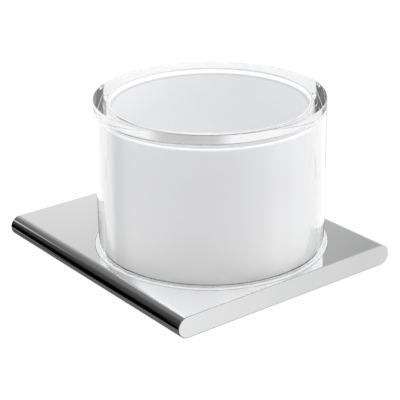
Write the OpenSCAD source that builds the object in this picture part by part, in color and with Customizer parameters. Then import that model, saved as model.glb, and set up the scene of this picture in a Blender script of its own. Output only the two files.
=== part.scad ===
// Wall-hung holder for cotton pads: a flat metal plate with half-round sides,
// a satin dish that keeps the pads, and a heavy clear cover that lifts off.
// Millimetres. +Z is up, the wall is the plane y = 0 and the front faces -Y.
// The origin lies on the wall, half way up the plate's thickness.

/* [Plate] */
// Width of the plate, across its half-round sides
plate_w = 97.5; // [96:0.5:130]
// Depth of the plate, from its back end to its front end
plate_d = 109.5; // [100:0.5:140]
// Thickness of the plate
plate_t = 8; // [7.6:0.1:10]
// Distance from the plate's front end to the axis of the glass
glass_setback = 44.6; // [44.6:0.1:60]
// Gap between the wall and the plate's back end
wall_gap = 0.2; // [0.1:0.1:1]

/* [Cover] */
// Outer diameter of the clear cover
cover_d = 84; // [80:0.5:86]
// Height of the cover above the plate
cover_h = 56.4; // [50:0.1:80]
// Thickness of the cover's top
cover_top_t = 4.6; // [3:0.1:8]
// Thickness of the cover's wall where it meets the top
cover_wall_top = 4.8; // [4:0.1:6]
// Thickness of the cover's wall at its foot
cover_wall_foot = 2.8; // [2:0.1:3.8]
// Radius inside the cover, between its wall and its top
cover_inner_r = 1.2; // [0.5:0.1:3]
// Width of the polished break on the cover's edges
cover_edge = 0.2; // [0.1:0.05:0.6]

/* [Dish] */
// Gap between the dish's rim and the underside of the cover's top
dish_headroom = 1.8; // [1:0.1:6]
// Thickness of the dish's wall at its rim
dish_wall = 1.7; // [1.2:0.1:3]
// Thickness of the dish's floor
dish_floor = 3; // [2:0.1:5]
// Draft of the dish's inside, in degrees
dish_draft = 1; // [0:0.25:2]
// Radius between the dish's wall and its floor
dish_inner_r = 4; // [2:0.5:8]
// Width of the break on the edge of the dish's foot
dish_edge = 0.2; // [0.1:0.05:0.6]

/* [Seat] */
// Depth of the round seat that is sunk into the plate
seat_depth = 0.4; // [0.3:0.05:0.5]
// Thickness of the soft pad under the dish and the cover
seat_pad_t = 0.6; // [0.55:0.05:0.9]
// How far the soft pad stands out round the cover's foot
seat_margin = 1.4; // [0.6:0.1:2.2]

/* [Wall bracket] */
// Width of the bracket's flange
flange_w = 63.6; // [50:0.1:80]
// Height of the bracket's flange
flange_h = 5.8; // [5:0.1:6]
// Thickness of the bracket's flange
flange_t = 4.6; // [3.5:0.1:8]
// Width of the bracket's tongue
tongue_w = 26.6; // [22:0.1:34]
// Thickness of the bracket's tongue
tongue_t = 3.5; // [3:0.1:3.8]
// Length of the tongue in front of the flange
tongue_l = 11; // [9:0.5:16]
// Distance between the two wall screws
screw_pitch = 48; // [42:0.5:52]
// Diameter of the holes for the wall screws
screw_hole_d = 3.4; // [3:0.1:3.8]
// Diameter of the cones that take the screw heads
screw_head_d = 5.4; // [4.5:0.1:5.6]
// Distance between the two grub screws
grub_pitch = 16; // [12:0.5:18]
// Thread diameter of the grub screws
grub_d = 4; // [3:0.5:4]
// How deep the grub screws sit below the plate's underside
grub_sunk = 0.3; // [0.1:0.1:0.5]
// Width across the flats of the grub screws' sockets
grub_key = 2; // [1.5:0.5:2]
// Depth of the grub screws' sockets
grub_key_depth = 1.6; // [1:0.1:1.8]

/* [Clearances] */
// Gap between the bracket and the plate's pocket, on each side
bracket_gap = 0.15; // [0.1:0.05:0.2]
// Gap between the dish and the cover round it
cover_gap = 0.35; // [0.2:0.05:0.6]
// Gap between the seat's edge and the soft pad in it
seat_gap = 0.1; // [0.05:0.05:0.2]
// Gap between a grub screw and its hole
thread_gap = 0.05; // [0.02:0.01:0.1]
// Gap between a grub screw's end and the bracket's tongue
grub_gap = 0.1; // [0.05:0.05:0.2]

/* [Hidden] */
$fn = 120;
joined = 0.01;
plate_top = plate_t / 2;
glass_y = -(wall_gap + plate_d - glass_setback);
cover_r = cover_d / 2;
cavity_r_top = cover_r - cover_wall_top;
cavity_r_foot = cover_r - cover_wall_foot;
cavity_h = cover_h - cover_top_t;
dish_rim_z = cavity_h - dish_headroom;
seat_top = seat_pad_t - seat_depth;
dish_r_rim = cavity_r(dish_rim_z) - cover_gap;
dish_r_foot = cavity_r(seat_top + dish_edge) - cover_gap;
dish_inner_rim = dish_r_rim - dish_wall;
dish_floor_z = seat_top + dish_floor;
dish_inner_foot = dish_inner_rim - (dish_rim_z - dish_floor_z) * tan(dish_draft);
seat_r = cover_r + seat_margin + seat_gap;
tongue_top = flange_h / 2;
tongue_under = tongue_top - tongue_t;
grub_y = -(flange_t + tongue_l / 2);
grub_l = tongue_under + plate_t / 2 - grub_sunk - grub_gap;
pocket_w = flange_w + 2 * bracket_gap;
pocket_h = flange_h + 2 * bracket_gap;
slot_w = tongue_w + 2 * bracket_gap;
slot_h = tongue_t + 2 * bracket_gap;

// Radius of the cover's cavity at height z above the plate
function cavity_r(z) = cavity_r_foot + (cavity_r_top - cavity_r_foot) * z / cavity_h;

// Points on an arc round a centre, from one angle to another
function arc(centre, r, from, to, steps = 8) =
    [for (i = [0 : steps]) let (a = from + (to - from) * i / steps)
        centre + r * [cos(a), sin(a)]];

// The plate's section across its width: a flat bar with half-round sides
module plate_section() {
    square([plate_w - plate_t, plate_t], center = true);
    for (side = [-1, 1])
        translate([side * (plate_w - plate_t) / 2, 0])
            circle(d = plate_t);
}

module block(size, front_to_back, base_z) {
    translate([-size[0] / 2, front_to_back, base_z])
        cube(size);
}

module at_glass() {
    translate([0, glass_y, plate_top])
        children();
}

module at_grub(side) {
    translate([side * grub_pitch / 2, grub_y, -plate_t / 2])
        children();
}

module holder_plate() {
    color("silver")
    difference() {
        translate([0, -wall_gap, 0])
            rotate([90, 0, 0])
                linear_extrude(plate_d)
                    plate_section();
        at_glass()
            translate([0, 0, -seat_depth])
                cylinder(h = seat_depth + 1, r = seat_r);
        block([pocket_w, flange_t + bracket_gap + 1, pocket_h],
              -flange_t - bracket_gap, -pocket_h / 2);
        block([slot_w, flange_t + tongue_l + bracket_gap + 1, slot_h],
              -flange_t - tongue_l - bracket_gap, tongue_under - bracket_gap);
        for (side = [-1, 1])
            at_grub(side)
                translate([0, 0, -1])
                    cylinder(h = 1 + plate_t / 2 + tongue_under, d = grub_d);
    }
}

module wall_bracket() {
    color("darkgray")
    difference() {
        union() {
            block([flange_w, flange_t, flange_h], -flange_t, -flange_h / 2);
            block([tongue_w, tongue_l + joined, tongue_t], -flange_t - tongue_l, tongue_under);
        }
        for (side = [-1, 1])
            translate([side * screw_pitch / 2, 0, 0])
                rotate([90, 0, 0]) {
                    translate([0, 0, -1])
                        cylinder(h = flange_t + 2, d = screw_hole_d);
                    translate([0, 0, flange_t - (screw_head_d - screw_hole_d) / 2])
                        cylinder(h = (screw_head_d - screw_hole_d) / 2 + joined,
                                 d1 = screw_hole_d, d2 = screw_head_d + 2 * joined);
                }
    }
}

module grub_screw(side) {
    r = grub_d / 2 - thread_gap;
    chamfer = 0.4;
    color("dimgray")
    at_grub(side)
        translate([0, 0, grub_sunk])
            difference() {
                union() {
                    cylinder(h = grub_l - chamfer, r = r);
                    translate([0, 0, grub_l - chamfer])
                        cylinder(h = chamfer, r1 = r, r2 = r - chamfer);
                }
                translate([0, 0, -1])
                    cylinder(h = grub_key_depth + 1, r = grub_key / sqrt(3), $fn = 6);
            }
}

module seat_pad() {
    color("whitesmoke")
    at_glass()
        translate([0, 0, -seat_depth])
            cylinder(h = seat_pad_t, r = seat_r - seat_gap);
}

module pad_dish() {
    rim = dish_wall / 2;
    lean = atan((cavity_r_foot - cavity_r_top) / cavity_h);
    inner = [dish_inner_foot - dish_inner_r, dish_floor_z + dish_inner_r];
    color("gainsboro")
    at_glass()
        rotate_extrude()
            polygon(concat(
                [[0, seat_top], [dish_r_foot - dish_edge, seat_top]],
                [[dish_r_foot, seat_top + dish_edge]],
                arc([dish_r_rim - rim, dish_rim_z - rim], rim, lean, 180 - dish_draft, 10),
                arc(inner, dish_inner_r, 0, -90),
                [[0, dish_floor_z]]));
}

module cover_glass() {
    corner = [cavity_r_top - cover_inner_r, cavity_h - cover_inner_r];
    color("azure", 0.4)
    at_glass()
        rotate_extrude()
            polygon(concat(
                [[cavity_r_foot + cover_edge, seat_top], [cover_r - cover_edge, seat_top]],
                [[cover_r, seat_top + cover_edge]],
                [[cover_r, cover_h - cover_edge], [cover_r - cover_edge, cover_h]],
                [[0, cover_h], [0, cavity_h]],
                arc(corner, cover_inner_r, 90, 0),
                [[cavity_r(seat_top + cover_edge), seat_top + cover_edge]]));
}

holder_plate();
wall_bracket();
grub_screw(-1);  // grub_screw_left
grub_screw(1);  // grub_screw_right
seat_pad();
pad_dish();
cover_glass();
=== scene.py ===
# %% [markdown]
# # A wall-hung holder for cotton pads, in chrome, satin acrylic and thick glass
#
# This lesson dresses a CAD part. The part is a flat chromed plate that slides
# onto a hidden wall bracket, a satin dish for cotton pads that stands on a
# soft pad, and a heavy clear cover that drops over the dish. The CAD model
# gives every size and every joint, and this file gives the surfaces. Each
# piece below takes its place from the CAD piece that it stands for, so
# nothing has to be moved into place by eye.

# %% Load the frame
import math

import bmesh
import bpy
from mathutils import Matrix, Vector


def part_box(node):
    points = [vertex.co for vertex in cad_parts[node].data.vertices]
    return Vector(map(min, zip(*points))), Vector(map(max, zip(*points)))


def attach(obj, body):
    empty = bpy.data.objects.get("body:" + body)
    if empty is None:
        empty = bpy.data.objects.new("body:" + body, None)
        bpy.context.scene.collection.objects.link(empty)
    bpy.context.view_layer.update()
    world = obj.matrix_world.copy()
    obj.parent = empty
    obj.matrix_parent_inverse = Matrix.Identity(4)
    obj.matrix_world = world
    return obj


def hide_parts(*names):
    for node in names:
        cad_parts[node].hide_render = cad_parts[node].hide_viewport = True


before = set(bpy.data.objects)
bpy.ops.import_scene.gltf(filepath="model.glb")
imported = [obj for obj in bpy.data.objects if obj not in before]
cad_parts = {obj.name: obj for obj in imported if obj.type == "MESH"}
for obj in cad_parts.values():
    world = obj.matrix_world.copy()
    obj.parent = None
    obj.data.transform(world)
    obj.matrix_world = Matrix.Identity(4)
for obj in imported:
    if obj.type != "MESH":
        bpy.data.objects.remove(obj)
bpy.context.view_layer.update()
print("CAD pieces:", sorted(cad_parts))

# %% [markdown]
# ## Sizes that the pieces share
#
# The outer sizes are read from the boxes of the CAD pieces. Only what a box
# can't tell, such as the thickness of a wall, is written here again, and it
# is the same number as in the CAD source. Blender works in metres and a
# maker thinks in millimetres, so a small factor turns one into the other.

# %% Read the outer sizes from the frame
MM = 0.001

cover_low, cover_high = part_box("cover_glass")
plate_low, plate_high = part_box("holder_plate")
dish_low, dish_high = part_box("pad_dish")
pad_low, pad_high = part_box("seat_pad")

glass_axis = Vector(((cover_low.x + cover_high.x) / 2, (cover_low.y + cover_high.y) / 2, 0))
plate_top = plate_high.z
print("glass axis at", [round(v / MM, 2) for v in glass_axis], "mm")
print("plate", [round(v / MM, 2) for v in plate_high - plate_low], "mm")

# %% Write down what a box can't tell
COVER_TOP_THICKNESS = 4.6 * MM
COVER_WALL_AT_TOP = 4.8 * MM
COVER_WALL_AT_FOOT = 2.8 * MM
COVER_INNER_RADIUS = 1.2 * MM
COVER_EDGE_BREAK = 0.2 * MM
DISH_WALL = 1.7 * MM
DISH_FLOOR = 3.0 * MM
DISH_DRAFT = math.radians(1)
DISH_INNER_RADIUS = 4.0 * MM
DISH_EDGE_BREAK = 0.2 * MM
DISH_RIM_ROUND = 0.8 * MM
SEAT_DEPTH = 0.4 * MM
SEAT_GAP = 0.1 * MM
MERGE = 0.001 * MM
print("cover wall", round(COVER_WALL_AT_TOP / MM, 1), "to", round(COVER_WALL_AT_FOOT / MM, 1), "mm thick")

# %% [markdown]
# ## The camera
#
# The viewing angle decides everything that the chrome and the glass show, so
# the camera comes first. Its place was found by fitting the plate's corners
# and the cover's ellipses to the photograph: a long lens from the front left,
# looking 23 degrees down. It is written as an aim at the middle of the
# cover's foot, with the picture shifted by moving the camera sideways and
# not by a lens shift, so that other views work as well.

# %% Write down the fitted view
VIEW_TURN = math.radians(-37.30)
VIEW_TILT = math.radians(22.79)
VIEW_ROLL = math.radians(0.77)
VIEW_UNIT = 0.84 * MM
VIEW_DISTANCE = 599.49 * VIEW_UNIT
VIEW_RIGHT = 5.068 * VIEW_UNIT
VIEW_DOWN = 17.114 * VIEW_UNIT
FOCAL_PIXELS = 1342.66
PICTURE_SIDE = 400
SENSOR = 36.0
print("the eye is", round(VIEW_DISTANCE, 3), "m from the cover's foot, before it moves aside")

# %% Place the camera
forward = Vector(
    (
        -math.sin(VIEW_TURN) * math.cos(VIEW_TILT),
        math.cos(VIEW_TURN) * math.cos(VIEW_TILT),
        -math.sin(VIEW_TILT),
    )
)
level_right = Vector((math.cos(VIEW_TURN), math.sin(VIEW_TURN), 0))
level_down = forward.cross(level_right)
cam_right = math.cos(VIEW_ROLL) * level_right + math.sin(VIEW_ROLL) * level_down
cam_down = -math.sin(VIEW_ROLL) * level_right + math.cos(VIEW_ROLL) * level_down

aim = Vector((glass_axis.x, glass_axis.y, plate_top))
eye = aim - forward * VIEW_DISTANCE - cam_right * VIEW_RIGHT - cam_down * VIEW_DOWN

camera = bpy.data.objects.new("camera", bpy.data.cameras.new("camera"))
bpy.context.scene.collection.objects.link(camera)
camera.matrix_world = Matrix(
    (
        (cam_right.x, -cam_down.x, -forward.x, eye.x),
        (cam_right.y, -cam_down.y, -forward.y, eye.y),
        (cam_right.z, -cam_down.z, -forward.z, eye.z),
        (0, 0, 0, 1),
    )
)
camera.data.sensor_width = SENSOR
camera.data.lens = SENSOR * FOCAL_PIXELS / PICTURE_SIDE
camera.data.clip_start = 0.01
bpy.context.scene.camera = camera
print("camera at", [round(v, 3) for v in eye], "m, lens", round(camera.data.lens, 1), "mm")

# %% [markdown]
# ## Small helpers for node trees
#
# Every finish below is a tree of nodes. Written out in full, such a tree is
# mostly links. Short helpers keep it readable: one adds a node and sets its
# inputs by name, one makes a material with an empty Principled shader that
# the finish then fills in, and the rest are the patterns that come back.

# %% Add nodes by name
def add_node(tree, kind, inputs=None, **settings):
    """Adds a node. A value in inputs is set, and a socket in inputs is linked."""
    node = tree.nodes.new(kind)
    for name, value in settings.items():
        setattr(node, name, value)
    for name, value in (inputs or {}).items():
        if isinstance(value, bpy.types.NodeSocket):
            tree.links.new(value, node.inputs[name])
        else:
            node.inputs[name].default_value = value
    return node


def maths(tree, operation, first, second=None, third=None):
    """One Math node as a line of arithmetic. Returns its output."""
    values = {0: first} | ({} if second is None else {1: second}) | ({} if third is None else {2: third})
    return add_node(tree, "ShaderNodeMath", values, operation=operation).outputs[0]

# %% Start a finish, with its patterns
def new_finish(name):
    """A material with its tree, its Principled shader and the object's own coordinates."""
    material = bpy.data.materials.new(name)
    material.use_nodes = True
    tree = material.node_tree
    shader = tree.nodes["Principled BSDF"]
    place = add_node(tree, "ShaderNodeTexCoord").outputs["Object"]
    return material, tree, shader, place


def noise(tree, place, scale, detail=3.0, roughness=0.5, stretch=None):
    """Noise on the object's own coordinates, stretched if asked, from 0 to 1."""
    if stretch:
        place = add_node(tree, "ShaderNodeMapping", {"Vector": place, "Scale": stretch}).outputs[0]
    values = {"Vector": place, "Scale": scale, "Detail": detail, "Roughness": roughness}
    return add_node(tree, "ShaderNodeTexNoise", values).outputs["Fac"]


def spread(tree, value, low, high, start=0.3, end=0.7):
    """Maps a value from start to end onto low to high, clamped. The defaults suit a noise."""
    values = {"Value": value, "From Min": start, "From Max": end, "To Min": low, "To Max": high}
    return add_node(tree, "ShaderNodeMapRange", values).outputs["Result"]

# %% Mix colours and raise the surface
def blend_colour(tree, factor, first, second):
    """Mixes two colours by a factor."""
    node = add_node(tree, "ShaderNodeMix", {"Factor": factor}, data_type="RGBA")
    for socket, value in ((node.inputs[6], first), (node.inputs[7], second)):
        if isinstance(value, bpy.types.NodeSocket):
            tree.links.new(value, socket)
        else:
            socket.default_value = (*value, 1)
    return node.outputs[2]


def bump(tree, shader, height, strength, depth):
    """Feeds a height into the shader's normal."""
    values = {"Height": height, "Strength": strength, "Distance": depth}
    node = add_node(tree, "ShaderNodeBump", values)
    tree.links.new(node.outputs["Normal"], shader.inputs["Normal"])

# %% [markdown]
# ## The chrome
#
# Chrome plate is a mirror, so its picture comes from what stands round it.
# What makes it real metal and not a perfect mirror is very small: a haze
# where it has been wiped, a few hair-fine wiping marks along and across, and
# a faint waviness left by the polishing wheel. All of it is kept low, since
# this plate is new.
#
# One part of this finish is a trick and not metal. As a reflection in the
# outside of the glass, or after several bounces inside it, the plate would
# look brighter than in the photograph, so it turns dark for such rays. A ray
# that comes straight from the eye always sees the full chrome.

# %% Ask what a ray has done
def ray_was(tree, mirrored, passed):
    """1 for a ray mirrored and let through at least that often. A passed of 0 means never let through."""
    path = add_node(tree, "ShaderNodeLightPath").outputs
    often = maths(tree, "GREATER_THAN", path["Glossy Depth"], mirrored - 0.5)
    if passed == 0:
        through = maths(tree, "LESS_THAN", path["Transmission Depth"], 0.5)
    else:
        through = maths(tree, "GREATER_THAN", path["Transmission Depth"], passed - 0.5)
    return maths(tree, "MULTIPLY", often, through)

# %% Mix the chrome
CHROME_MIRRORED_AGAIN = (0.06, 0.06, 0.06)
CHROME_DEEP_IN_GLASS = (0.2, 0.2, 0.2)


def chrome_finish():
    material, tree, shader, place = new_finish("mirror_chrome")
    shader.inputs["Metallic"].default_value = 1.0
    haze = noise(tree, place, 28, 4, 0.6)
    wipe_along = noise(tree, place, 900, 2, 0.5, (1.0, 0.012, 1.0))
    wipe_across = noise(tree, place, 700, 2, 0.5, (0.015, 1.0, 1.0))
    marks = maths(tree, "MULTIPLY", spread(tree, wipe_along, 0, 1, 0.62, 0.75),
                  spread(tree, wipe_across, 0.2, 1, 0.4, 0.6))
    colour = blend_colour(tree, spread(tree, haze, 0, 1), (0.93, 0.93, 0.935), (0.90, 0.905, 0.915))
    colour = blend_colour(tree, ray_was(tree, mirrored=1, passed=0), colour, CHROME_MIRRORED_AGAIN)
    colour = blend_colour(tree, ray_was(tree, mirrored=2, passed=2), colour, CHROME_DEEP_IN_GLASS)
    tree.links.new(colour, shader.inputs["Base Color"])
    rough = maths(tree, "ADD", spread(tree, haze, 0.012, 0.03), maths(tree, "MULTIPLY", marks, 0.03))
    tree.links.new(rough, shader.inputs["Roughness"])
    wave = noise(tree, place, 14, 1, 0.4)
    bump(tree, shader, maths(tree, "ADD", wave, maths(tree, "MULTIPLY", marks, 0.002)), 0.02, 0.0002)
    return material


chrome = chrome_finish()
print("made", chrome.name)

# %% [markdown]
# ## The clear glass
#
# The cover is thick, colourless and polished, so the shader is glass with the
# index of crystal. Thick glass would also cast a dark shadow on the dish
# inside it, because lamps don't find their way through a refracting surface.
# A Light Path node lets lamp light and soft bounced light pass straight
# through, while the eye still sees true refraction. A trace of waviness and
# a few wiping marks keep the surface from looking computed.
#
# The wall of the cavity also has a leak, which real glass hasn't. Rays that
# bounce about inside the wall show as streaks in the pale ring round the
# top, where the photograph has an even white. In one band of the inner wall
# such rays go straight on to the white dish, and the ring turns even. The
# band was tuned to the one photographed view.

# %% Ask where a point lies
def height_of(tree, place):
    """How high a point lies."""
    return add_node(tree, "ShaderNodeSeparateXYZ", {"Vector": place}).outputs["Z"]


def reach_of(tree, place):
    """How far a point lies from the glass axis."""
    off = add_node(tree, "ShaderNodeVectorMath", {0: place, 1: glass_axis}, operation="SUBTRACT")
    level = add_node(tree, "ShaderNodeVectorMath", {0: off.outputs[0], 1: (1, 1, 0)}, operation="MULTIPLY")
    return add_node(tree, "ShaderNodeVectorMath", {0: level.outputs[0]}, operation="LENGTH").outputs["Value"]

# %% Mix the glass
def clear_finish(name, index, tints, haze, wave, leak=None):
    """A clear solid: its index, two tints, the most haze that wiping leaves and its waviness.

    A leak, as (radius, low, high), is the band round the glass axis where caught light gets out.
    """
    material, tree, shader, place = new_finish(name)
    shader.inputs["IOR"].default_value = index
    shader.inputs["Transmission Weight"].default_value = 1.0
    tint = blend_colour(tree, spread(tree, noise(tree, place, 20, 2), 0, 1), *tints)
    tree.links.new(tint, shader.inputs["Base Color"])
    wiped = noise(tree, place, 320, 3, 0.6, (1, 1, 0.05))
    tree.links.new(spread(tree, wiped, 0.0, haze, 0.6, 0.8), shader.inputs["Roughness"])
    bump(tree, shader, noise(tree, place, 9, 1, 0.3), wave, 0.0001)
    path = add_node(tree, "ShaderNodeLightPath")
    passes = maths(tree, "MAXIMUM", path.outputs["Is Shadow Ray"], path.outputs["Is Diffuse Ray"])
    if leak:
        radius, low, high = leak
        height = height_of(tree, place)
        between = maths(tree, "MULTIPLY", maths(tree, "GREATER_THAN", height, low),
                        maths(tree, "LESS_THAN", height, high))
        band = maths(tree, "MULTIPLY", maths(tree, "LESS_THAN", reach_of(tree, place), radius), between)
        caught = ray_was(tree, mirrored=1, passed=1)
        passes = maths(tree, "MAXIMUM", passes, maths(tree, "MULTIPLY", band, caught))
    clear = add_node(tree, "ShaderNodeBsdfTransparent")
    mixed = add_node(tree, "ShaderNodeMixShader", {"Fac": passes})
    tree.links.new(shader.outputs[0], mixed.inputs[1])
    tree.links.new(clear.outputs[0], mixed.inputs[2])
    tree.links.new(mixed.outputs[0], tree.nodes["Material Output"].inputs["Surface"])
    return material


LEAK_RADIUS = 39.4 * MM
LEAK_LOW = plate_top + 25 * MM
LEAK_HIGH = cover_high.z - COVER_TOP_THICKNESS - 1 * MM

glass = clear_finish("clear_crystal", 1.5, ((1, 1, 1), (0.99, 0.993, 0.992)), 0.004, 0.003,
                     leak=(LEAK_RADIUS, LEAK_LOW, LEAK_HIGH))
print("made", glass.name)

# %% [markdown]
# ## The satin acrylic
#
# The dish is moulded in opal acrylic and blasted to a satin surface. Light
# goes a little way into it, which is why its rim and its inside glow, so the
# shader scatters light below the surface. The satin itself is a very fine
# grain in the bump, and the opal varies by a few hundredths in tone.
#
# Two tones are painted on, though a real dish has one colour: a painted light
# that makes the foot lighter, for the light that the plate throws up, and a painted
# shade that greys the inner half of the rim, for the fine grey line that the
# photograph shows there. A painted light or shade stays on the dish in any light.

# %% Mix the acrylic
ACRYLIC_TONES = ((0.86, 0.862, 0.876), (0.89, 0.892, 0.905))
# painted light: the foot is lighter, for the light that the plate throws up
ACRYLIC_FOOT_PAINTED_LIGHT = (0.93, 0.932, 0.945)
# painted shade: grey on the inner half of the rim
ACRYLIC_RIM_PAINTED_SHADE = (0.52, 0.525, 0.535)
FOOT_LIGHT_ENDS = plate_top + 36 * MM
FOOT_LIGHT_FULL = plate_top + 4 * MM
RIM_SHADE_STARTS = dish_high.z - 0.8 * MM
RIM_SHADE_FULL = dish_high.z - 0.3 * MM
RIM_SHADE_REACH = (dish_high.x - dish_low.x) / 2 - 2.8 * MM


def satin_finish():
    material, tree, shader, place = new_finish("satin_opal_acrylic")
    clouds = noise(tree, place, 35, 3, 0.5)
    colour = blend_colour(tree, spread(tree, clouds, 0, 1), *ACRYLIC_TONES)
    height = height_of(tree, place)
    # painted light: the colour turns lighter towards the foot, for the light that the plate throws up
    foot_light = spread(tree, height, 0, 1, FOOT_LIGHT_ENDS, FOOT_LIGHT_FULL)
    colour = blend_colour(tree, foot_light, colour, ACRYLIC_FOOT_PAINTED_LIGHT)
    # painted shade: the inner half of the rim turns grey near its top
    near_rim_shade = spread(tree, height, 0, 1, RIM_SHADE_STARTS, RIM_SHADE_FULL)
    inside = maths(tree, "LESS_THAN", reach_of(tree, place), RIM_SHADE_REACH)
    colour = blend_colour(tree, maths(tree, "MULTIPLY", near_rim_shade, inside), colour, ACRYLIC_RIM_PAINTED_SHADE)
    tree.links.new(colour, shader.inputs["Base Color"])
    tree.links.new(spread(tree, clouds, 0.56, 0.64), shader.inputs["Roughness"])
    shader.inputs["Subsurface Weight"].default_value = 0.35
    shader.inputs["Subsurface Radius"].default_value = (1.0, 1.0, 1.0)
    shader.inputs["Subsurface Scale"].default_value = 1.2 * MM
    shader.inputs["IOR"].default_value = 1.45
    shader.inputs["Specular IOR Level"].default_value = 0.25
    grain = noise(tree, place, 5200, 2, 0.6)
    bump(tree, shader, grain, 0.06, 0.00006)
    return material


satin = satin_finish()
print("made", satin.name)

# %% [markdown]
# ## The soft pad, the bracket and the grub screws
#
# Three small pieces need plain workshop finishes. The pad is clear silicone,
# so it takes the same kind of shader as the glass, with silicone's lower
# index and a duller skin. Being clear, it lets the chrome below shine
# through, which brings light up into the glass wall that stands on it. Its
# edge is made milky, so that it shows as the thin bright ring at the foot of
# the cover. The bracket is milled steel with a thin zinc coat, so it has
# fine parallel cutter lines and cloudy patches. The grub screws are
# stainless steel.

# %% Mix the silicone
MILKY = 0.5
MILKY_RAMP = 0.3 * MM
MILKY_INSIDE = 0.1 * MM

silicone = clear_finish("clear_silicone", 1.41, ((0.985, 0.99, 0.99), (0.96, 0.965, 0.97)), 0.05, 0.01)


def frost_rim(material, radius):
    """Makes a clear material milky outside a radius round the glass axis."""
    tree = material.node_tree
    shader = tree.nodes["Principled BSDF"]
    place = add_node(tree, "ShaderNodeTexCoord").outputs["Object"]
    clear = spread(tree, reach_of(tree, place), 1.0, MILKY, radius, radius + MILKY_RAMP)
    tree.links.new(clear, shader.inputs["Transmission Weight"])


frost_rim(silicone, (cover_high.x - cover_low.x) / 2 - MILKY_INSIDE)
print("made", silicone.name)

# %% Mix the steels
def steel_finish(name, light, dark, lines, grain_scale, roughness):
    """Cut steel: lines is how the grain is stretched, and roughness its low and high value."""
    material, tree, shader, place = new_finish(name)
    shader.inputs["Metallic"].default_value = 1.0
    clouds = noise(tree, place, 160, 4, 0.6)
    cuts = noise(tree, place, grain_scale, 3, 0.6, lines)
    colour = blend_colour(tree, spread(tree, clouds, 0, 1), light, dark)
    tree.links.new(colour, shader.inputs["Base Color"])
    low, high = roughness
    rough = maths(tree, "MULTIPLY_ADD", cuts, 0.2, spread(tree, clouds, low - 0.1, high - 0.1))
    tree.links.new(rough, shader.inputs["Roughness"])
    bump(tree, shader, cuts, 0.25, 0.00004)
    return material


zinc_steel = steel_finish("milled_zinc_steel", (0.66, 0.67, 0.69), (0.52, 0.53, 0.56),
                          (1.0, 0.05, 0.05), 3000, (0.32, 0.5))
screw_steel = steel_finish("stainless_screw_steel", (0.5, 0.5, 0.51), (0.33, 0.33, 0.35),
                           (0.1, 0.1, 1.0), 4000, (0.28, 0.42))
print("made", zinc_steel.name, "and", screw_steel.name)

# %% [markdown]
# ## One lathe for every turned piece
#
# The pad, the dish and the cover are all round, so one Geometry Nodes tree
# makes them: it takes the profile as a chain of points in the XZ plane and
# turns it round the Z axis, as a lathe would. A grid supplies the faces. Each
# row of the grid looks up one point of the profile, and each column is one
# step of the turn. Where the profile touches the axis, and where the turn
# closes, points fall together and are merged.

# %% Build the lathe tree
def add_socket(tree, name, kind, into=True):
    side = "INPUT" if into else "OUTPUT"
    return tree.interface.new_socket(name=name, in_out=side, socket_type=kind)


def lathe_tree():
    tree = bpy.data.node_groups.new("lathe", "GeometryNodeTree")
    add_socket(tree, "Profile", "NodeSocketGeometry")
    add_socket(tree, "Steps", "NodeSocketInt")
    add_socket(tree, "Merge distance", "NodeSocketFloat")
    add_socket(tree, "Finish", "NodeSocketMaterial")
    add_socket(tree, "Turned", "NodeSocketGeometry", into=False)
    given = add_node(tree, "NodeGroupInput").outputs

    counts = add_node(tree, "GeometryNodeAttributeDomainSize", {"Geometry": given["Profile"]}).outputs
    points = counts["Point Count"]
    columns = maths(tree, "ADD", given["Steps"], 1.0)
    sizes = {"Vertices X": points, "Vertices Y": columns}
    grid = add_node(tree, "GeometryNodeMeshGrid", sizes).outputs["Mesh"]
    index = add_node(tree, "GeometryNodeInputIndex").outputs[0]
    row = maths(tree, "FLOOR", maths(tree, "DIVIDE", maths(tree, "ADD", index, 0.5), columns))
    column = maths(tree, "SUBTRACT", index, maths(tree, "MULTIPLY", row, columns))
    angle = maths(tree, "DIVIDE", maths(tree, "MULTIPLY", column, math.tau), given["Steps"])

    place = add_node(tree, "GeometryNodeInputPosition").outputs[0]
    look_up = add_node(tree, "GeometryNodeSampleIndex", {"Geometry": given["Profile"], "Index": row},
                       data_type="FLOAT_VECTOR", domain="POINT")
    tree.links.new(place, look_up.inputs["Value"])
    turned = add_node(tree, "ShaderNodeVectorRotate", {"Vector": look_up.outputs["Value"], "Angle": angle},
                      rotation_type="Z_AXIS")
    shaped = add_node(tree, "GeometryNodeSetPosition", {"Geometry": grid, "Position": turned.outputs[0]})
    closed = add_node(tree, "GeometryNodeMergeByDistance",
                      {"Geometry": shaped.outputs[0], "Distance": given["Merge distance"]})
    real = add_node(tree, "GeometryNodeRealizeInstances", {"Geometry": closed.outputs[0]})
    finished = {"Geometry": real.outputs[0], "Material": given["Finish"]}
    done = add_node(tree, "GeometryNodeSetMaterial", finished)
    out = add_node(tree, "NodeGroupOutput")
    tree.links.new(done.outputs[0], out.inputs["Turned"])
    return tree


lathe = lathe_tree()
print("lathe tree has", len(lathe.nodes), "nodes")

# %% Turn a modifier into a plain mesh
def run_tree(start_mesh, tree, values):
    """Runs a geometry tree once on a mesh, with its named inputs set, and returns the plain mesh."""
    holder = bpy.data.objects.new("on_the_bench", start_mesh)
    bpy.context.scene.collection.objects.link(holder)
    modifier = holder.modifiers.new("tree", "NODES")
    modifier.node_group = tree
    for socket in tree.interface.items_tree:
        if socket.item_type == "SOCKET" and socket.in_out == "INPUT" and socket.name in values:
            modifier[socket.identifier] = values[socket.name]
    seen = holder.evaluated_get(bpy.context.evaluated_depsgraph_get())
    made = bpy.data.meshes.new_from_object(seen)
    holder.modifiers.remove(modifier)
    bpy.data.objects.remove(holder)
    return made

# %% Put a finished piece on show
def volume_of(mesh):
    """The mesh's signed volume, which is negative when its faces point inwards."""
    work = bmesh.new()
    work.from_mesh(mesh)
    volume = work.calc_volume(signed=True)
    work.free()
    return volume


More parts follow.
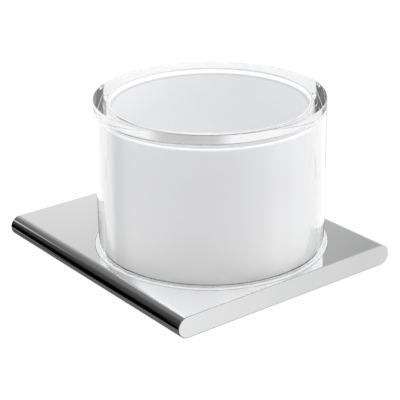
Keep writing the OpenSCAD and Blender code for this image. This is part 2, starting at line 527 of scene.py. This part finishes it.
def put_on_show(name, mesh, body, node, sharp_at=30):
    """Makes the finished mesh a piece that rides on a body and stands for a CAD piece."""
    if volume_of(mesh) < 0:
        mesh.flip_normals()
    mesh.shade_smooth()
    mesh.set_sharp_from_angle(angle=math.radians(sharp_at))
    piece = bpy.data.objects.new(name, mesh)
    bpy.context.scene.collection.objects.link(piece)
    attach(piece, body)
    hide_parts(node)
    print(f"{name}: {len(mesh.polygons)} faces, {volume_of(mesh) * 1e9:.0f} cubic mm")

# %% [markdown]
# ## Drawing a profile
#
# A real edge is never a mathematical corner: a turned or moulded piece has a
# small radius everywhere. The profile is therefore written as corners, each
# with its own radius, and one helper rounds them. It also sets a point just
# before and after every round. Without these, the smooth shading of the
# round would creep across the whole flat beside it, and a mirror or a thick
# glass would show that as a bent reflection.

# %% Round the corners of a profile
GUARD = 0.04 * MM


def rounded(corners, steps=6):
    """Points along a profile of (radius, height, rounding) corners, with guard points by each round."""
    points = []
    for i, (x, z, radius) in enumerate(corners):
        here = Vector((x, z))
        if radius <= 0 or i in (0, len(corners) - 1):
            points.append(here)
            continue
        back = (Vector(corners[i - 1][:2]) - here).normalized()
        ahead = (Vector(corners[i + 1][:2]) - here).normalized()
        half = back.angle(ahead) / 2
        reach = radius / math.tan(half)
        centre = here + (back + ahead).normalized() * (radius / math.sin(half))
        start, end = here + back * reach - centre, here + ahead * reach - centre
        turn = start.angle_signed(end)
        points.append(here + back * (reach + GUARD))
        for k in range(steps + 1):
            turned = start.copy()
            turned.rotate(Matrix.Rotation(-turn * k / steps, 2))
            points.append(centre + turned)
        points.append(here + ahead * (reach + GUARD))
    return points


def turn_piece(corners, finish, steps=256, corner_steps=6):
    """A closed round piece from its profile, standing on the glass axis."""
    points = rounded(corners, corner_steps)
    chain = bpy.data.meshes.new("profile")
    chain.from_pydata([(p.x, 0, p.y) for p in points], [(i, i + 1) for i in range(len(points) - 1)], [])
    made = run_tree(chain, lathe, {"Steps": steps, "Merge distance": MERGE, "Finish": finish})
    made.transform(Matrix.Translation(glass_axis))
    return made

# %% [markdown]
# ## The cover
#
# The cover is blown or pressed glass, flat and closed at the top and open at
# the foot. Its wall tapers from almost 5 mm at the top to under 3 mm at the
# foot, which is how it leaves its mould. Outside, the edges are only broken
# with a fine polish, and inside, the top meets the wall in a small radius.
# Both sides of the wall are real surfaces, because the bright and dark bands
# in the rim come from light that travels inside the thick top.

# %% Turn the cover
cover_radius = (cover_high.x - cover_low.x) / 2
cavity_top = cover_high.z - COVER_TOP_THICKNESS
cavity_height = cavity_top - plate_top
cavity_radius_top = cover_radius - COVER_WALL_AT_TOP
cavity_radius_foot = cover_radius - COVER_WALL_AT_FOOT


def cavity_radius(height):
    """Radius of the cover's cavity at a height above the plate."""
    return cavity_radius_foot + (cavity_radius_top - cavity_radius_foot) * height / cavity_height


cover_profile = [
    (0, cavity_top, 0),
    (cavity_radius_top, cavity_top, COVER_INNER_RADIUS),
    (cavity_radius(cover_low.z - plate_top), cover_low.z, COVER_EDGE_BREAK),
    (cover_radius, cover_low.z, COVER_EDGE_BREAK),
    (cover_radius, cover_high.z, COVER_EDGE_BREAK),
    (0, cover_high.z, 0),
]
put_on_show("clear_glass_cover", turn_piece(cover_profile, glass, steps=320),
            "cover", "cover_glass")

# %% [markdown]
# ## The dish
#
# The dish follows the taper of the cover, a third of a millimetre inside it,
# so that the cover centres itself. Its rim is rounded over almost all of its
# thickness, its foot has a fine broken edge where it stands on the soft pad,
# and its inside has a draft of one degree and a generous radius above the
# floor, as a moulded dish needs.

# %% Turn the dish
dish_rim = dish_high.z
dish_radius_foot = (dish_high.x - dish_low.x) / 2
dish_lean = (cavity_radius_foot - cavity_radius_top) / cavity_height
dish_radius_rim = dish_radius_foot - dish_lean * (dish_rim - dish_low.z - DISH_EDGE_BREAK)
dish_floor = dish_low.z + DISH_FLOOR
dish_inner_rim = dish_radius_rim - DISH_WALL
dish_inner_foot = dish_inner_rim - (dish_rim - dish_floor) * math.tan(DISH_DRAFT)

dish_profile = [
    (0, dish_low.z, 0),
    (dish_radius_foot, dish_low.z, DISH_EDGE_BREAK),
    (dish_radius_rim, dish_rim, DISH_RIM_ROUND),
    (dish_inner_rim, dish_rim, DISH_RIM_ROUND),
    (dish_inner_foot, dish_floor, DISH_INNER_RADIUS),
    (0, dish_floor, 0),
]
put_on_show("satin_pad_dish", turn_piece(dish_profile, satin), "dish", "pad_dish")

# %% [markdown]
# ## The soft pad
#
# A thin disc of clear silicone lies in a shallow round seat in the plate. It
# carries the dish and the cover and comes out a little round the cover's
# foot, where its edge catches the light as a fine bright ring. Two clear
# solids that share one face confuse a ray tracer, so the drawn pad is a
# hair thinner than the CAD one, on both sides.

# %% Turn the soft pad
HAIR = 0.015 * MM
PAD_LOWER_ROUND = 0.1 * MM
PAD_UPPER_ROUND = 0.15 * MM

pad_radius = (pad_high.x - pad_low.x) / 2
pad_profile = [
    (0, pad_low.z + HAIR, 0),
    (pad_radius, pad_low.z + HAIR, PAD_LOWER_ROUND),
    (pad_radius, pad_high.z - HAIR, PAD_UPPER_ROUND),
    (0, pad_high.z - HAIR, 0),
]
put_on_show("soft_seat_pad", turn_piece(pad_profile, silicone, steps=192, corner_steps=4),
            "plate", "seat_pad")

# %% [markdown]
# ## The plate
#
# The plate is cut from half-round bar: flat above and below, with fully
# rounded long sides and square-cut ends whose edges are just broken. It is
# built as rings of one section along its depth, so every reflection line on
# the rounded sides runs straight. The seat, the pocket for the bracket and
# the holes for the grub screws are then cut out, each with its own cutter.

# %% Draw the plate's section
EDGE_BREAK = 0.22 * MM
SIDE_STEPS = 48

plate_thickness = plate_high.z - plate_low.z
plate_width = plate_high.x - plate_low.x


def bar_section(inset):
    """The plate's outline seen from the front, drawn in by inset, as (x, z) points."""
    radius = plate_thickness / 2 - inset
    middle = plate_width / 2 - plate_thickness / 2
    outline = []
    for side in (1, -1):
        outline.append((side * (middle - GUARD), -side * radius))
        for k in range(SIDE_STEPS + 1):
            angle = -math.pi / 2 + math.pi * k / SIDE_STEPS
            outline.append((side * (middle + radius * math.cos(angle)), side * radius * math.sin(angle)))
        outline.append((side * (middle - GUARD), side * radius))
    return outline


def plate_rings(front, back):
    """(depth, inset) of each ring: the ends are flat, then their broken edge, then the long body."""
    edge = [(EDGE_BREAK * (1 - math.sin(a)), EDGE_BREAK * (1 - math.cos(a)))
            for a in [math.pi / 2 * k / 4 for k in range(5)]]
    rings = [(front, EDGE_BREAK + GUARD)] + [(front + depth, inset) for inset, depth in edge]
    rings += [(front + EDGE_BREAK + GUARD, 0), (back - EDGE_BREAK - GUARD, 0)]
    rings += [(back - depth, inset) for inset, depth in reversed(edge)] + [(back, EDGE_BREAK + GUARD)]
    return rings

# %% Sweep the section
def sweep_plate():
    work = bmesh.new()
    rings = [[work.verts.new((x, y, z)) for x, z in bar_section(inset)]
             for y, inset in plate_rings(plate_low.y, plate_high.y)]
    for near, far in zip(rings, rings[1:]):
        count = len(near)
        for k in range(count):
            work.faces.new((near[k], near[(k + 1) % count], far[(k + 1) % count], far[k]))
    work.faces.new(rings[0])
    work.faces.new(rings[-1])
    bmesh.ops.recalc_face_normals(work, faces=work.faces)
    mesh = bpy.data.meshes.new("plate")
    work.to_mesh(mesh)
    work.free()
    mesh.materials.append(chrome)
    return mesh


plate_blank = sweep_plate()
print("plate blank:", len(plate_blank.polygons), "faces")

# %% [markdown]
# ## Cutting the seat, the pocket and the holes
#
# A cutter is a solid of the shape that is taken away. The round cutters come
# from the lathe with a slightly wider mouth, so the seat and the holes get
# the small bevel that a countersink leaves. The pocket and the slot are plain
# blocks with rounded corners, as an end mill makes them.

# %% Write down the sizes of the cuts
BRACKET_GAP = 0.15 * MM
GRUB_RADIUS = 2.0 * MM
bracket_low, bracket_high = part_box("wall_bracket")
grub_low, grub_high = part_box("grub_screw_right")
TONGUE_WIDTH = 26.6 * MM
TONGUE_THICKNESS = 3.5 * MM
FLANGE_THICKNESS = 4.6 * MM
POCKET_CORNER = 1.0 * MM
SLOT_CORNER = 0.6 * MM
SEAT_MOUTH = 0.08 * MM
HOLE_MOUTH = 0.25 * MM
OVERRUN = 1 * MM
print("bracket", [round(v / MM, 2) for v in bracket_high - bracket_low], "mm")

# %% Make the cutters
def cutter_object(mesh):
    cutter = bpy.data.objects.new("cutter", mesh)
    bpy.context.scene.collection.objects.link(cutter)
    return cutter


def block_cutter(low, high, radius=0.0):
    """A block from one corner to the other, with rounded edges along its depth."""
    work = bmesh.new()
    bmesh.ops.create_cube(work, size=1)
    size = high - low
    bmesh.ops.scale(work, vec=size, verts=work.verts)
    bmesh.ops.translate(work, vec=(low + high) / 2, verts=work.verts)
    if radius > 0:
        along = [e for e in work.edges if abs((e.verts[0].co - e.verts[1].co).normalized().y) > 0.9]
        bmesh.ops.bevel(work, geom=along, offset=radius, segments=5, affect="EDGES", profile=0.5)
    mesh = bpy.data.meshes.new("block")
    work.to_mesh(mesh)
    work.free()
    return cutter_object(mesh)


def round_cutter(centre, radius, low, high, mouth, mouth_up=True, steps=192):
    """A round cutter with a wider mouth where it leaves the metal."""
    lip = high if mouth_up else low
    inward = -1 if mouth_up else 1
    floor = low if mouth_up else high
    outside = lip - inward * OVERRUN
    chain = [(0, floor), (radius, floor), (radius, lip + inward * mouth), (radius + mouth, lip),
             (radius + mouth, outside), (0, outside)]
    mesh = bpy.data.meshes.new("profile")
    mesh.from_pydata([(x, 0, z) for x, z in chain], [(i, i + 1) for i in range(len(chain) - 1)], [])
    made = run_tree(mesh, lathe, {"Steps": steps, "Merge distance": MERGE, "Finish": chrome})
    if volume_of(made) < 0:
        made.flip_normals()
    made.transform(Matrix.Translation(Vector((centre.x, centre.y, 0))))
    return cutter_object(made)

# %% Take the cutters away
def cut_from(mesh, cutters):
    """Takes the cutters away from a mesh and returns the plain result."""
    holder = bpy.data.objects.new("on_the_bench", mesh)
    bpy.context.scene.collection.objects.link(holder)
    for cutter in cutters:
        modifier = holder.modifiers.new("cut", "BOOLEAN")
        modifier.operation = "DIFFERENCE"
        modifier.solver = "EXACT"
        modifier.object = cutter
    seen = holder.evaluated_get(bpy.context.evaluated_depsgraph_get())
    made = bpy.data.meshes.new_from_object(seen)
    holder.modifiers.clear()
    for used in [holder, *cutters]:
        bpy.data.objects.remove(used)
    made.materials.clear()
    made.materials.append(chrome)
    return made

# %% Cut the seat, the pocket and the holes
grub_centre = (grub_low + grub_high) / 2
pocket_half = (bracket_high.x - bracket_low.x) / 2 + BRACKET_GAP
slot_half = TONGUE_WIDTH / 2 + BRACKET_GAP
tongue_under = bracket_high.z - TONGUE_THICKNESS
cutters = [
    round_cutter(glass_axis, pad_radius + SEAT_GAP, plate_top - SEAT_DEPTH, plate_top, SEAT_MOUTH),
    block_cutter(Vector((-pocket_half, -FLANGE_THICKNESS - BRACKET_GAP, bracket_low.z - BRACKET_GAP)),
                 Vector((pocket_half, OVERRUN, bracket_high.z + BRACKET_GAP)), POCKET_CORNER),
    block_cutter(Vector((-slot_half, bracket_low.y - BRACKET_GAP, tongue_under - BRACKET_GAP)),
                 Vector((slot_half, 0, bracket_high.z + BRACKET_GAP)), SLOT_CORNER),
]
for side in (-1, 1):
    cutters.append(round_cutter(Vector((side * grub_centre.x, grub_centre.y, 0)), GRUB_RADIUS,
                                plate_low.z, tongue_under, HOLE_MOUTH, mouth_up=False, steps=64))

put_on_show("chrome_plate", cut_from(plate_blank, cutters), "plate", "holder_plate")

# %% [markdown]
# ## The bracket
#
# The bracket is a milled steel piece, seen only from behind or when the plate
# is drawn off. Its CAD shape is right, so the piece starts as a copy of the
# CAD mesh. The copy's loose triangles are merged back to clean faces, and its
# sharp edges then get the small bevel that a deburring tool leaves.

# %% Deburr a copy of the CAD bracket
DEBURR = 0.15 * MM


def deburred_copy(node, bevel_width, finish):
    work = bmesh.new()
    work.from_mesh(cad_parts[node].data)
    bmesh.ops.remove_doubles(work, verts=work.verts, dist=MERGE)
    bmesh.ops.dissolve_limit(work, angle_limit=math.radians(0.5), verts=work.verts, edges=work.edges)
    sharp = [e for e in work.edges if len(e.link_faces) == 2 and e.calc_face_angle() > math.radians(35)]
    bmesh.ops.bevel(work, geom=sharp, offset=bevel_width, segments=3, affect="EDGES", profile=0.5,
                    clamp_overlap=True)
    mesh = bpy.data.meshes.new(node)
    work.to_mesh(mesh)
    work.free()
    mesh.materials.append(finish)
    return mesh


put_on_show("steel_wall_bracket", deburred_copy("wall_bracket", DEBURR, zinc_steel),
            "bracket", "wall_bracket")

# %% [markdown]
# ## The grub screws
#
# A grub screw is a headless screw with a hexagon socket. Its thread follows a
# rule, so Geometry Nodes make it: a helix, a small ridge swept along it that
# fades in and out at both ends, and the core joined to it. The core itself is
# a stack of rings, and where the socket starts the rings change from round to
# hexagonal.

# %% Build the thread tree
def thread_tree():
    tree = bpy.data.node_groups.new("screw_thread", "GeometryNodeTree")
    add_socket(tree, "Core", "NodeSocketGeometry")
    for name in ("Core radius", "Ridge", "Pitch", "Start", "Length"):
        add_socket(tree, name, "NodeSocketFloat")
    add_socket(tree, "Finish", "NodeSocketMaterial")
    add_socket(tree, "Screw", "NodeSocketGeometry", into=False)
    given = add_node(tree, "NodeGroupInput").outputs

    turns = maths(tree, "DIVIDE", given["Length"], given["Pitch"])
    helix = add_node(tree, "GeometryNodeCurveSpiral",
                     {"Resolution": 40, "Rotations": turns, "Start Radius": given["Core radius"],
                      "End Radius": given["Core radius"], "Height": given["Length"]})
    along = add_node(tree, "GeometryNodeSplineParameter").outputs["Factor"]
    rise = spread(tree, along, 0, 1, 0.0, 0.12)
    fall = spread(tree, along, 0, 1, 1.0, 0.88)
    fade = maths(tree, "MAXIMUM", maths(tree, "MINIMUM", rise, fall), 0.05)
    tapered = add_node(tree, "GeometryNodeSetCurveRadius", {"Curve": helix.outputs[0], "Radius": fade})
    ridge = add_node(tree, "GeometryNodeCurvePrimitiveCircle", {"Resolution": 4, "Radius": given["Ridge"]})
    sweep = add_node(tree, "GeometryNodeCurveToMesh",
                     {"Curve": tapered.outputs[0], "Profile Curve": ridge.outputs["Curve"],
                      "Fill Caps": True})
    lift = add_node(tree, "ShaderNodeCombineXYZ", {"Z": given["Start"]})
    placed = add_node(tree, "GeometryNodeTransform",
                      {"Geometry": sweep.outputs[0], "Translation": lift.outputs[0]})
    joined = add_node(tree, "GeometryNodeJoinGeometry")
    tree.links.new(given["Core"], joined.inputs[0])
    tree.links.new(placed.outputs[0], joined.inputs[0])
    real = add_node(tree, "GeometryNodeRealizeInstances", {"Geometry": joined.outputs[0]})
    finished = {"Geometry": real.outputs[0], "Material": given["Finish"]}
    done = add_node(tree, "GeometryNodeSetMaterial", finished)
    out = add_node(tree, "NodeGroupOutput")
    tree.links.new(done.outputs[0], out.inputs["Screw"])
    return tree


thread = thread_tree()
print("thread tree has", len(thread.nodes), "nodes")

# %% Write down the screw's sizes
SCREW_OUTER = 1.95 * MM
THREAD_PITCH = 0.7 * MM
THREAD_RIDGE = 0.3 * MM
SOCKET_ACROSS = 2.0 * MM
SOCKET_DEPTH = 1.6 * MM
SOCKET_CONE = 0.4 * MM
SCREW_EDGE = 0.12 * MM
SCREW_POINT = 0.3 * MM
TIP = 0.02 * MM
RING_STEPS = 48
print("screw thread", round(2 * SCREW_OUTER / MM, 1), "mm across, pitch", round(THREAD_PITCH / MM, 1), "mm")

# %% Make the screw's core
def screw_ring(radius, z, hexagonal=False):
    ring = []
    for k in range(RING_STEPS):
        angle = math.tau * k / RING_STEPS
        reach = radius
        if hexagonal:
            reach = radius / math.cos((angle + math.pi / 6) % (math.pi / 3) - math.pi / 6)
        ring.append((reach * math.cos(angle), reach * math.sin(angle), z))
    return ring


def screw_core(length):
    core = SCREW_OUTER - THREAD_RIDGE
    flat = SOCKET_ACROSS / 2
    rings = [
        screw_ring(TIP, SOCKET_DEPTH + SOCKET_CONE),
        screw_ring(flat * 0.99, SOCKET_DEPTH, True),
        screw_ring(flat, SOCKET_DEPTH - TIP, True),
        screw_ring(flat, SCREW_EDGE, True),
        screw_ring(flat + SCREW_EDGE, 0, True),
        screw_ring(core - SCREW_EDGE, 0),
        screw_ring(core, SCREW_EDGE),
        screw_ring(core, length - SCREW_POINT),
        screw_ring(core - SCREW_POINT, length),
        screw_ring(TIP, length),
    ]
    work = bmesh.new()
    made = [[work.verts.new(p) for p in ring] for ring in rings]
    for near, far in zip(made, made[1:]):
        for k in range(RING_STEPS):
            work.faces.new((near[k], near[(k + 1) % RING_STEPS], far[(k + 1) % RING_STEPS], far[k]))
    work.faces.new(made[0])
    work.faces.new(made[-1])
    bmesh.ops.recalc_face_normals(work, faces=work.faces)
    mesh = bpy.data.meshes.new("screw_core")
    work.to_mesh(mesh)
    work.free()
    return mesh

# %% Thread both screws
THREAD_START = 0.35 * MM
THREAD_ENDS = 0.75 * MM

for name, body, node in (("left_grub_screw", "grub_left", "grub_screw_left"),
                         ("right_grub_screw", "grub_right", "grub_screw_right")):
    low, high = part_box(node)
    length = high.z - low.z
    threaded = run_tree(screw_core(length), thread, {
        "Core radius": SCREW_OUTER - THREAD_RIDGE, "Ridge": THREAD_RIDGE, "Pitch": THREAD_PITCH,
        "Start": THREAD_START, "Length": length - THREAD_ENDS, "Finish": screw_steel})
    threaded.transform(Matrix.Translation(Vector(((low.x + high.x) / 2, (low.y + high.y) / 2, low.z))))
    put_on_show(name, threaded, body, node, sharp_at=40)

# %% [markdown]
# ## The studio
#
# Chrome and glass show the studio round them more than themselves. The studio
# here is the world, and it is built of grey levels by direction: a turn of 0
# degrees looks into the wall, 90 to the right and 180 out into the room, and
# a rise of 0 is level. A studio of real walls and cards would do the same and
# cost many objects, which the other views would have to hide.

# %% Make grey levels by direction
def ramp(tree, factor, stops):
    """A Color Ramp of grey stops, as (place, value) pairs."""
    node = add_node(tree, "ShaderNodeValToRGB", {"Fac": factor})
    elements = node.color_ramp.elements
    while len(elements) > 1:
        elements.remove(elements[0])
    elements[0].position = stops[0][0]
    elements[0].color = (stops[0][1],) * 3 + (1,)
    for place, value in stops[1:]:
        elements.new(place).color = (value,) * 3 + (1,)
    return node.outputs["Color"]


def sky_levels(tree):
    """Two makers of a level from (degrees, level) stops, by turn and by rise, and the upward part."""
    way = add_node(tree, "ShaderNodeTexCoord").outputs["Generated"]
    parts = add_node(tree, "ShaderNodeSeparateXYZ", {"Vector": way}).outputs
    turn = maths(tree, "ARCTAN2", parts["X"], parts["Y"])
    turn = maths(tree, "MULTIPLY_ADD", turn, 1 / math.tau, 0.5)
    rise = maths(tree, "ARCSINE", parts["Z"])
    rise = maths(tree, "MULTIPLY_ADD", rise, 1 / math.pi, 0.5)

    def by_turn(stops):
        return ramp(tree, turn, [(degrees / 360 + 0.5, level) for degrees, level in stops])

    def by_rise(stops):
        return ramp(tree, rise, [(degrees / 180 + 0.5, level) for degrees, level in stops])

    return by_turn, by_rise, parts["Z"]


def blend_level(tree, factor, first, second):
    """Mixes two grey levels by a factor."""
    return add_node(tree, "ShaderNodeMix", {"Factor": factor, 2: first, 3: second}).outputs[0]

# %% [markdown]
# ## What the metal and the glass mirror
#
# Behind and to the right the walls are white, and to the left and in front
# they are mostly dark, with a few narrow bright strips high up. The dark part
# gives the rounded side of the plate its black line. A glow and a low grey
# flag stand behind, below eye level, for what shows through the clear glass.
# Three parts of the round then fall off with height, each in its own way, and
# a faint fill keeps them from going quite black high up and far down. All of
# it was placed against the one photographed view.

# %% Write down the walls
LOW_WALLS = [
    (-180, 0.1), (-160, 0.0), (-125, 0.05), (-90, 0.15), (-60, 0.25), (-47, 0.2), (-44, 0.0), (-32, 0.0),
    (-22, 0.97), (125, 1.0), (135, 0.76), (144, 0.93), (150, 0.87), (156, 0.6), (168, 0.25),
]
HIGH_WALLS = [
    (-180, 0.0), (-160, 0.0), (-158, 1.0), (-152, 1.0), (-150, 0.0), (-100, 0.0), (-99, 0.8), (-95, 0.8),
    (-94, 0.0), (-31, 0.0), (-26, 1.0), (32, 1.0), (42.8, 0.7), (44.5, 0.63), (52, 0.63), (60, 1.0),
    (112, 1.0), (115, 0.0), (128, 0.0), (131, 0.9), (136, 0.8), (139, 0.0),
]
FLAG_BEHIND = [(31, 1.0), (36, 0.64), (44, 0.6), (54, 0.64), (60, 1.0)]
FLAG_HEIGHT = [(-22.3, 0.0), (-21.3, 1.0), (-18.2, 1.0), (-17.4, 0.0)]
GLOW_BEHIND = [(0, 0.8), (15, 1.0), (60, 1.0), (75, 0.8)]
GLOW_STRENGTH = 1.15
LEFT_PART = [(-5, 1.0), (8, 0.0)]
MIDDLE_PART = [(-5, 0.0), (8, 1.0), (52, 1.0), (62, 0.0)]
BELOW = [(-90, 0.0), (-28.5, 0.0), (-24.5, 1.0)]
LEFT_FALL = BELOW + [(23, 0.95), (26, 0.8), (30, 0.12), (43, 0.2), (60, 0.4), (90, 1.0)]
MIDDLE_FALL = BELOW + [
    (16, 1.0), (20, 0.87), (23, 0.76), (24.7, 0.68), (26, 0.62), (31.7, 0.46), (38, 0.27), (43, 0.2),
    (60, 0.4), (90, 1.0),
]
RIGHT_FALL = [(-90, 0.0), (-45, 0.0), (-35, 1.0), (24, 1.0), (40, 0.8), (90, 1.0)]
FILL = [(-48, 0.16), (-36, 0.08), (-25, 0.0), (0, 0.0), (6, 0.03), (17, 0.05), (34, 0.08), (42, 0.2)]
print("walls with", len(LOW_WALLS), "stops below the level and", len(HIGH_WALLS), "above it")

# %% Put the walls together
def mirrored_walls(tree, by_turn, by_rise, upward):
    """The level that a mirror ray finds in its direction."""
    glow = maths(tree, "MULTIPLY", by_turn(GLOW_BEHIND), GLOW_STRENGTH)
    behind = blend_level(tree, by_rise(FLAG_HEIGHT), glow, by_turn(FLAG_BEHIND))
    low_walls = maths(tree, "MULTIPLY", by_turn(LOW_WALLS), behind)
    above = maths(tree, "GREATER_THAN", upward, 0.0)
    walls = blend_level(tree, above, low_walls, by_turn(HIGH_WALLS))
    left = by_turn(LEFT_PART)
    middle = by_turn(MIDDLE_PART)
    right = maths(tree, "SUBTRACT", maths(tree, "SUBTRACT", 1.0, left), middle)
    fall = maths(tree, "MULTIPLY", left, by_rise(LEFT_FALL))
    fall = maths(tree, "MULTIPLY_ADD", middle, by_rise(MIDDLE_FALL), fall)
    fall = maths(tree, "MULTIPLY_ADD", right, by_rise(RIGHT_FALL), fall)
    return maths(tree, "MAXIMUM", maths(tree, "MULTIPLY", walls, fall), by_rise(FILL))

# %% [markdown]
# ## What the other rays see
#
# A single world can't be a hard black and white studio for the metal and a
# soft room for the dish. So the Light Path node sorts the rays. The eye sees
# plain white. Light that has been scattered gets a soft level of its own,
# lower in front and higher behind, and less from straight above, so that less
# of the dish goes pure white. Everything else sees the walls.
#
# A bright card, in front and at the left, is seen only by rays that were
# mirrored at least twice and never let through, such as the plate's picture
# of the outside of the glass. It brightens that picture. No real card could
# be seen by such rays alone, so this is a shortcut too.

# %% Light the studio through the world
ROOM_BY_TURN = [
    (-180, 0.68), (-142, 0.66), (-110, 0.67), (-60, 0.78), (-10, 1.0), (37, 1.2), (80, 0.8), (120, 0.75),
    (180, 0.68),
]
ROOM_BY_RISE = [(-90, 1.1), (30, 1.16), (55, 0.9), (90, 0.7)]
CARD_BY_TURN = [(-70, 1.0), (-50, 0.0), (128, 0.0), (145, 1.0)]
CARD_BY_RISE = [(5, 0.0), (12, 1.0), (45, 1.0), (55, 0.0)]
CARD_STRENGTH = 6.0


def studio_world():
    world = bpy.data.worlds.new("studio")
    world.use_nodes = True
    tree = world.node_tree
    by_turn, by_rise, upward = sky_levels(tree)
    walls = mirrored_walls(tree, by_turn, by_rise, upward)
    room = maths(tree, "MULTIPLY", by_turn(ROOM_BY_TURN), by_rise(ROOM_BY_RISE))
    path = add_node(tree, "ShaderNodeLightPath").outputs
    scattered = maths(tree, "GREATER_THAN", path["Diffuse Depth"], 0.5)
    seen = blend_level(tree, scattered, walls, room)
    card = maths(tree, "MULTIPLY", by_turn(CARD_BY_TURN), by_rise(CARD_BY_RISE))
    card = maths(tree, "MULTIPLY", ray_was(tree, mirrored=2, passed=0), card)
    seen = maths(tree, "MULTIPLY_ADD", card, CARD_STRENGTH, seen)
    seen = maths(tree, "MAXIMUM", path["Is Camera Ray"], seen)
    tree.links.new(seen, tree.nodes["Background"].inputs["Color"])
    bpy.context.scene.world = world


studio_world()
print("studio world has", len(bpy.context.scene.world.node_tree.nodes), "nodes")

# %% [markdown]
# ## The floor
#
# A small pale disc hangs below the holder. The eye sees it almost white, with
# enough plain surface left in it for a soft shadow, and it fades to full
# white towards its edge. Mirror rays see it as dark grey, about as dark as
# the world is in those directions.

# %% Hang the floor
FLOOR_DROP = 120 * MM
FLOOR_RADIUS = 240 * MM
FLOOR_COLOUR = (0.85, 0.85, 0.85, 1)
FLOOR_IN_MIRRORS = (0.13, 0.13, 0.13, 1)
FLOOR_GLOW = 0.85


def floor_finish():
    material, tree, shader, place = new_finish("pale_floor")
    shader.inputs["Base Color"].default_value = FLOOR_COLOUR
    shader.inputs["Roughness"].default_value = 0.9
    reach = add_node(tree, "ShaderNodeVectorMath", {0: place}, operation="LENGTH").outputs["Value"]
    white = spread(tree, reach, FLOOR_GLOW, 1.0, 0.0, FLOOR_RADIUS)
    path = add_node(tree, "ShaderNodeLightPath").outputs
    seen = maths(tree, "MAXIMUM", path["Is Camera Ray"], path["Is Transmission Ray"])
    glow = add_node(tree, "ShaderNodeEmission")
    lit = add_node(tree, "ShaderNodeMixShader", {"Fac": maths(tree, "MULTIPLY", seen, white)})
    tree.links.new(shader.outputs[0], lit.inputs[1])
    tree.links.new(glow.outputs[0], lit.inputs[2])
    dim = add_node(tree, "ShaderNodeEmission", {"Color": FLOOR_IN_MIRRORS})
    both = add_node(tree, "ShaderNodeMixShader", {"Fac": path["Is Glossy Ray"]})
    tree.links.new(lit.outputs[0], both.inputs[1])
    tree.links.new(dim.outputs[0], both.inputs[2])
    tree.links.new(both.outputs[0], tree.nodes["Material Output"].inputs["Surface"])
    return material


def hang_floor():
    work = bmesh.new()
    bmesh.ops.create_circle(work, cap_ends=True, radius=FLOOR_RADIUS, segments=96)
    mesh = bpy.data.meshes.new("floor")
    work.to_mesh(mesh)
    work.free()
    mesh.materials.append(floor_finish())
    floor = bpy.data.objects.new("floor", mesh)
    floor.location = (0, (plate_low.y + plate_high.y) / 2, plate_low.z - FLOOR_DROP)
    bpy.context.scene.collection.objects.link(floor)


hang_floor()
print("floor hangs", round(FLOOR_DROP / MM), "mm below the plate")

# %% [markdown]
# ## The lamps
#
# Two large soft boxes light the holder. The one overhead is the stronger: it
# fills the dish through the clear cover and brightens its rim. The other
# stands at the right and in front, which helps to make the right half of the
# dish lighter than the left. Both are too large to leave hard edges anywhere.
# Mirror rays and rays through the glass don't see them, because the walls of
# the world already give what the metal and the glass show.

# %% Hang the lamps
def soft_box(name, place, target, size, power):
    lamp = bpy.data.lights.new(name, "AREA")
    lamp.shape = "SQUARE"
    lamp.size = size
    lamp.energy = power
    holder = bpy.data.objects.new(name, lamp)
    holder.location = place
    holder.rotation_euler = (Vector(target) - Vector(place)).to_track_quat("-Z", "Y").to_euler()
    holder.visible_glossy = False
    holder.visible_transmission = False
    bpy.context.scene.collection.objects.link(holder)


soft_box("overhead_box", place=(0, -0.06, 0.9), target=(0, -0.06, 0), size=0.9, power=5.0)
soft_box("right_box", place=(0.9, -0.8, 0.35), target=(0, -0.065, 0.03), size=0.8, power=1.65)

# %% [markdown]
# ## Light that stays inside the glass
#
# A ray that enters the thick rim bounces from wall to wall inside the glass
# many times before it leaves. Blender stops following a ray after a few
# bounces, and the rim would then turn grey. The limits are raised for this
# scene, so that almost every ray finds its way out.

# %% Let the rays bounce
paths = bpy.context.scene.cycles
paths.max_bounces = 32
paths.glossy_bounces = 24
paths.transmission_bounces = 32
paths.transparent_max_bounces = 16
print("rays may bounce", paths.max_bounces, "times")

# %% [markdown]
# ## Last steps
#
# The view transform is Standard, so a colour comes out about as it is
# written.

# %% Set the view transform
bpy.context.scene.view_settings.view_transform = "Standard"
